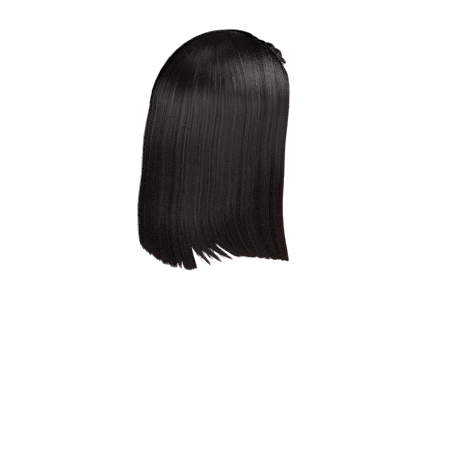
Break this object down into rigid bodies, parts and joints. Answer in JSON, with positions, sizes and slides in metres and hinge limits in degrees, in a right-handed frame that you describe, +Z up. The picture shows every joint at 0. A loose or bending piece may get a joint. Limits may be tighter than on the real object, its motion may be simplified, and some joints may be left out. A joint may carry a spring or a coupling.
{
  "type": "lace front wig",
  "caption": "Straight shoulder-length wig on a net cap with a sheer lace front, parted at the side, whose locks fan from the crown and end in points.",
  "frame": {"origin": "inside of the cap at its crown, where the top of the wearer's head carries it", "axes": "+Z up, -Y the way the wearer faces, -X the wearer's right, in metres"},
  "size_m": [0.1902, 0.2256, 0.3099],
  "materials": {
    "lace": "sheer brown lace",
    "net": "black stretch net with sewn wefts",
    "hair": "glossy near-black straight hair",
    "under_hair": "near-black straight hair with brown ends"
  },
  "bodies": {
    "root": {"lace_front": "lace", "net_cap": "net", "front_hair_right": "hair", "front_hair_left": "hair", "crown_hair": "hair", "nape_weft": "under_hair"}
  },
  "joints": []
}
